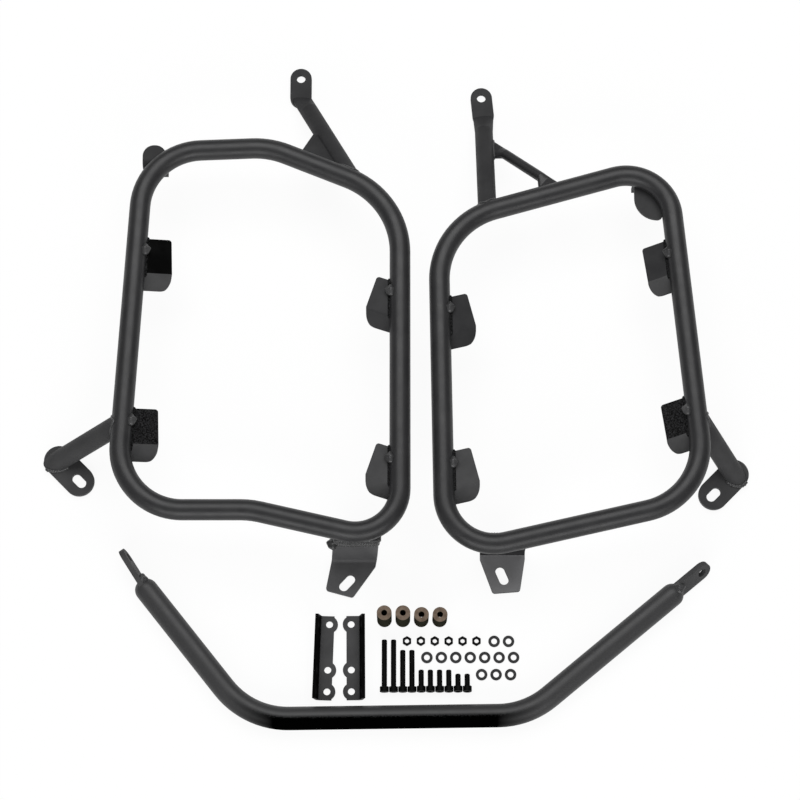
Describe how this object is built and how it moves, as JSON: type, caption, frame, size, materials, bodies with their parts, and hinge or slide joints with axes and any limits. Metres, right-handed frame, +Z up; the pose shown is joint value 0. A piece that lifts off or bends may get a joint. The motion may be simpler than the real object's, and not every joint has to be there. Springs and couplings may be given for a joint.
{
  "type": "pannier rack",
  "caption": "Black tubular pannier rack for a motorcycle, laid out as a kit: looped side frames, rear crossbar, angle brackets and loose fasteners.",
  "frame": {"origin": "centre of the layout's footprint, on the floor that the pieces lie on", "axes": "+X across the layout from the left side frame to the right one, +Y from the crossbar towards the upper arms, +Z up from the floor"},
  "size_m": [0.6818, 0.6688, 0.076],
  "materials": {
    "black_coat": "satin black powder coat on steel",
    "black_screw": "blackened steel",
    "dark_nut": "blackened steel",
    "dark_washer": "dark zinc-plated steel",
    "olive_spacer": "olive-brown passivated steel"
  },
  "bodies": {
    "root": {"left_loop": "black_coat", "left_upper_arm": "black_coat", "left_arm_gusset": "black_coat", "left_front_arm": "black_coat", "left_front_arm_plate": "black_coat", "left_upper_bracket": "black_coat", "left_lower_bracket": "black_coat", "left_outer_upper_tab": "black_coat", "left_outer_lower_tab": "black_coat", "left_inner_upper_tab": "black_coat", "left_inner_lower_tab": "black_coat", "right_loop": "black_coat", "right_upper_arm": "black_coat", "right_arm_strut": "black_coat", "right_front_arm": "black_coat", "right_front_arm_plate": "black_coat", "right_upper_bracket": "black_coat", "right_lower_bracket": "black_coat", "right_outer_upper_tab": "black_coat", "right_outer_lower_tab": "black_coat", "right_inner_upper_tab": "black_coat", "right_inner_lower_tab": "black_coat", "crossbar": "black_coat", "crossbar_left_plate": "black_coat", "crossbar_right_plate": "black_coat", "left_angle_bracket": "black_coat", "right_angle_bracket": "black_coat", "long_screws": "black_screw", "medium_screws": "black_screw", "short_screws": "black_screw", "stub_screws": "black_screw", "hex_nuts": "dark_nut", "flat_washers": "dark_washer", "long_spacers": "olive_spacer", "short_spacers": "olive_spacer"}
  },
  "joints": []
}
